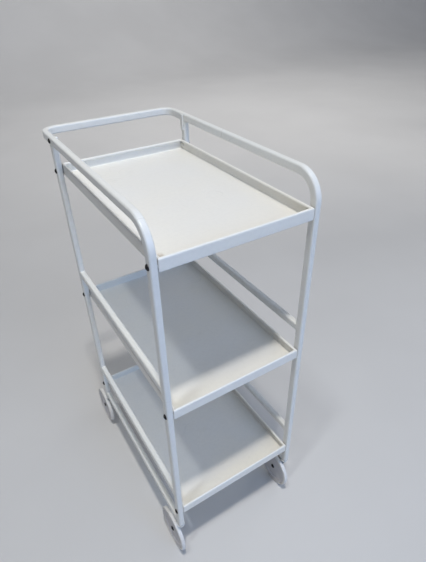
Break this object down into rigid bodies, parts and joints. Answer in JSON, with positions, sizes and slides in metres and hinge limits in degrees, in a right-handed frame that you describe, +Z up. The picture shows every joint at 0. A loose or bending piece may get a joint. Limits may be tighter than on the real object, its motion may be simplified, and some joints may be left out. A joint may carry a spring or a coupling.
{
  "type": "three-tier spa trolley",
  "caption": "Narrow tube-framed trolley with open trays, side guard rails, a bent push rail and single-arm swivel castors.",
  "frame": {"origin": "on the floor under the middle of the whole trolley's box", "axes": "+Z up, +Y to the push rail's far end, +X to the right when looking along +Y"},
  "size_m": [0.3332, 0.5634, 0.904],
  "materials": {
    "frame_enamel": "warm white powder coat, satin",
    "tray_enamel": "warm white powder coat, satin",
    "black_fixings": "black oxide, low sheen",
    "zinc_steel": "zinc plated, satin",
    "nylon": "moulded white nylon",
    "tyre_rubber": "pale grey non-marking tread, matt"
  },
  "bodies": {
    "frame": {"bent_frame": "frame_enamel", "rear_leg_left": "frame_enamel", "rear_leg_right": "frame_enamel", "guard_mid_left": "frame_enamel", "guard_mid_right": "frame_enamel", "guard_low_left": "frame_enamel", "guard_low_right": "frame_enamel", "base_rail_left": "frame_enamel", "base_rail_right": "frame_enamel", "tray_top": "tray_enamel", "tray_middle": "tray_enamel", "tray_bottom": "tray_enamel", "bolts_top": "black_fixings", "bolts_middle": "black_fixings", "bolts_bottom": "black_fixings", "spacers_top": "nylon", "spacers_middle": "nylon", "spacers_bottom": "nylon", "nuts_top": "tray_enamel", "nuts_middle": "tray_enamel", "nuts_bottom": "tray_enamel", "rail_bolts": "black_fixings", "leg_sockets": "nylon", "swivel_washers": "zinc_steel"},
    "castor_nl": {"arm_nl": "frame_enamel", "stem_nl": "zinc_steel", "axle_nl": "black_fixings", "axle_nut_nl": "zinc_steel"},
    "roller_nl": {"wheel_nl": "nylon", "tyre_nl": "tyre_rubber"},
    "castor_nr": {"arm_nr": "frame_enamel", "stem_nr": "zinc_steel", "axle_nr": "black_fixings", "axle_nut_nr": "zinc_steel"},
    "roller_nr": {"wheel_nr": "nylon", "tyre_nr": "tyre_rubber"},
    "castor_fl": {"arm_fl": "frame_enamel", "stem_fl": "zinc_steel", "axle_fl": "black_fixings", "axle_nut_fl": "zinc_steel"},
    "roller_fl": {"wheel_fl": "nylon", "tyre_fl": "tyre_rubber"},
    "castor_fr": {"arm_fr": "frame_enamel", "stem_fr": "zinc_steel", "axle_fr": "black_fixings", "axle_nut_fr": "zinc_steel"},
    "roller_fr": {"wheel_fr": "nylon", "tyre_fr": "tyre_rubber"}
  },
  "joints": [
    {"name": "swivel_nl", "type": "hinge", "parent": "frame", "child": "castor_nl", "pos_m": [-0.15385, -0.25775, 0.117], "axis": [0, 0, 1], "continuous": true},
    {"name": "roll_nl", "type": "hinge", "parent": "castor_nl", "child": "roller_nl", "pos_m": [-0.16135, -0.22775, 0.054], "axis": [1, 0, 0], "continuous": true},
    {"name": "swivel_nr", "type": "hinge", "parent": "frame", "child": "castor_nr", "pos_m": [0.15715, -0.25775, 0.117], "axis": [0, 0, 1], "continuous": true},
    {"name": "roll_nr", "type": "hinge", "parent": "castor_nr", "child": "roller_nr", "pos_m": [0.14965, -0.22775, 0.054], "axis": [1, 0, 0], "continuous": true},
    {"name": "swivel_fl", "type": "hinge", "parent": "frame", "child": "castor_fl", "pos_m": [-0.15385, 0.19725, 0.117], "axis": [0, 0, 1], "continuous": true},
    {"name": "roll_fl", "type": "hinge", "parent": "castor_fl", "child": "roller_fl", "pos_m": [-0.16135, 0.22725, 0.054], "axis": [1, 0, 0], "continuous": true},
    {"name": "swivel_fr", "type": "hinge", "parent": "frame", "child": "castor_fr", "pos_m": [0.15715, 0.19725, 0.117], "axis": [0, 0, 1], "continuous": true},
    {"name": "roll_fr", "type": "hinge", "parent": "castor_fr", "child": "roller_fr", "pos_m": [0.14965, 0.22725, 0.054], "axis": [1, 0, 0], "continuous": true}
  ]
}
